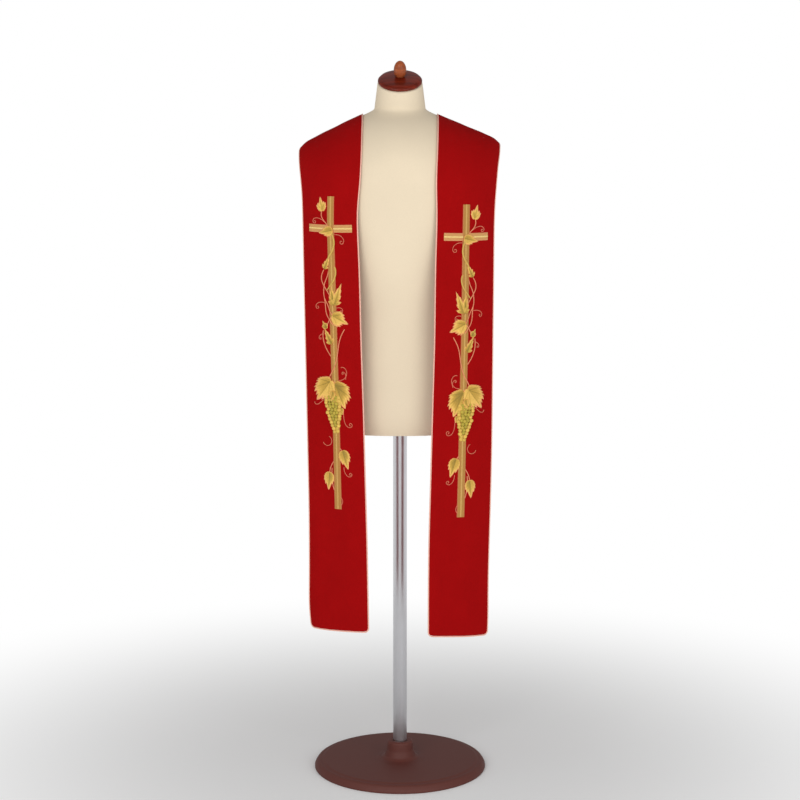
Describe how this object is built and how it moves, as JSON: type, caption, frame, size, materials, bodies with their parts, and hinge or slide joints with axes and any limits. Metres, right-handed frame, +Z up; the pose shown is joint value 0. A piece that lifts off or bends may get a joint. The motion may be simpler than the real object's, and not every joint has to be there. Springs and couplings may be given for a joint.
{
  "type": "clerical stole on a dress form",
  "caption": "Red clerical stole with gold piping and raised gold crosses, lying over the shoulders of a limbless dress form on a round stand.",
  "frame": {"origin": "centre of the round base's underside, on the floor", "axes": "+Z up the pole, the stole's front faces -Y, and the wearer's left is +X"},
  "size_m": [0.4512, 0.4, 1.6308],
  "materials": {
    "red_cloth": "matt woven cloth",
    "gold_piping": "twisted gold cord",
    "gold_thread": "satin stitch in gold thread",
    "cream_jersey": "smooth cream jersey",
    "mahogany": "polished dark mahogany",
    "pole_steel": "satin steel tube"
  },
  "bodies": {
    "root": {"panel_right": "red_cloth", "panel_left": "red_cloth", "piping_right": "gold_piping", "piping_left": "gold_piping", "cross_right": "gold_thread", "cross_left": "gold_thread", "torso": "cream_jersey", "neck_cap": "mahogany", "neck_knob": "mahogany", "pole": "pole_steel", "stand_base": "mahogany"}
  },
  "joints": []
}
